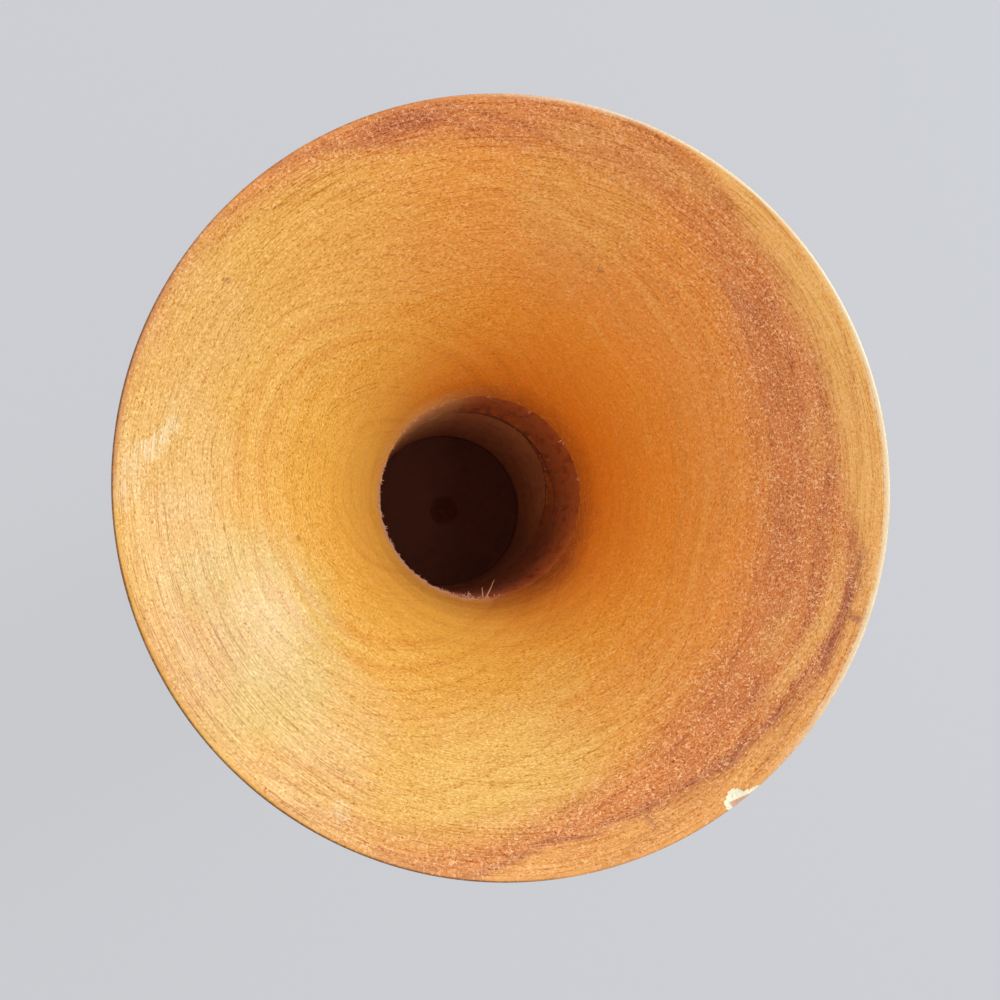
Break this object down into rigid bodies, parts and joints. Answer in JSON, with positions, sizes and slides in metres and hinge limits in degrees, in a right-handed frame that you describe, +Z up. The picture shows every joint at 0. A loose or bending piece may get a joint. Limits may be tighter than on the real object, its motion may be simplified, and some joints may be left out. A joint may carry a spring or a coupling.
{
  "type": "wooden vase",
  "caption": "Turned wooden vase with a wide trumpet mouth, a straight drilled bore, a baluster body and a spreading foot; stands free and holds flower stems.",
  "frame": {"origin": "middle of the underside, where the felt pad meets the table", "axes": "+Z up along the lathe axis; X and Y are free, because the vase is a body of revolution"},
  "size_m": [0.12, 0.12, 0.2],
  "materials": {
    "turned_wood": "satin lacquer over golden brown wood with a reddish heartwood band",
    "dowel_wood": "bare pale wood, grooved for glue",
    "felt": "dense dark brown felt"
  },
  "bodies": {
    "root": {"mouth_bell": "turned_wood", "body": "turned_wood", "foot": "turned_wood", "foot_dowel": "dowel_wood", "felt_pad": "felt"}
  },
  "joints": []
}
